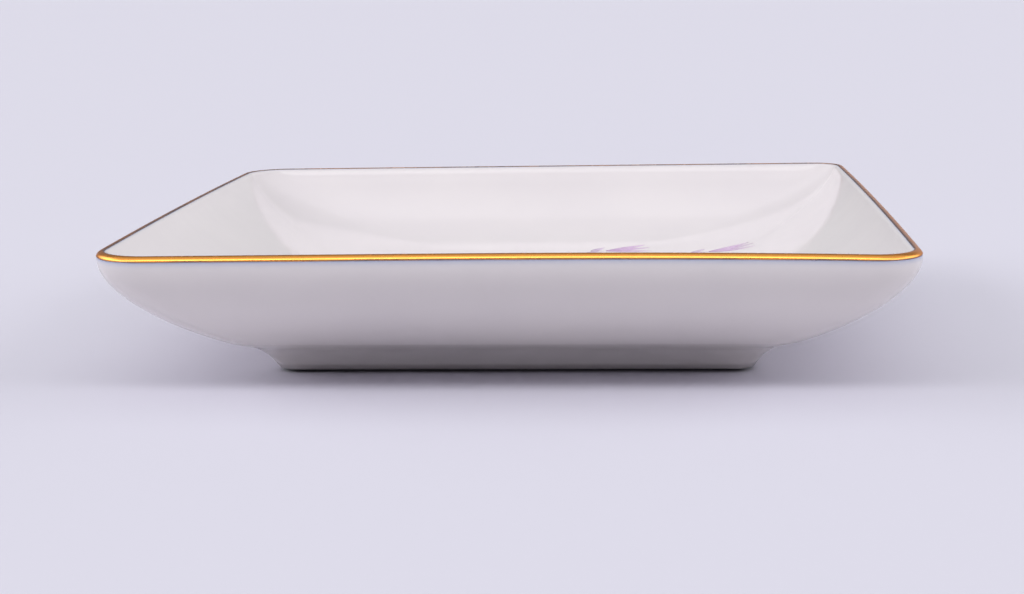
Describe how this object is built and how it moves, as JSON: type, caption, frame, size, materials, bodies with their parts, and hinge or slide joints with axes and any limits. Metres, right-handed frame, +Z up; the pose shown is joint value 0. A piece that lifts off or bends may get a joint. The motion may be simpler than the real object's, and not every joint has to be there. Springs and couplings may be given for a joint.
{
  "type": "ring dish",
  "caption": "Shallow square porcelain dish with curved walls, a gilded rim and a ring foot, for holding rings and other small jewellery.",
  "frame": {"origin": "middle of the underside, on the surface that the foot stands on", "axes": "+Z up out of the well, -Y towards the side that the picture shows in front, +X to the right of that view"},
  "size_m": [0.1206, 0.1202, 0.0221],
  "materials": {
    "biscuit_porcelain": "unglazed fired porcelain, fine and dull",
    "clear_glaze": "glossy clear glaze over white porcelain",
    "base_glaze": "glossy clear glaze over white porcelain",
    "fired_gold": "bright fired gold lustre"
  },
  "bodies": {
    "root": {"porcelain_body": "biscuit_porcelain", "glaze_coat": "clear_glaze", "base_glaze": "base_glaze", "gilt_rim_band": "fired_gold"}
  },
  "joints": []
}
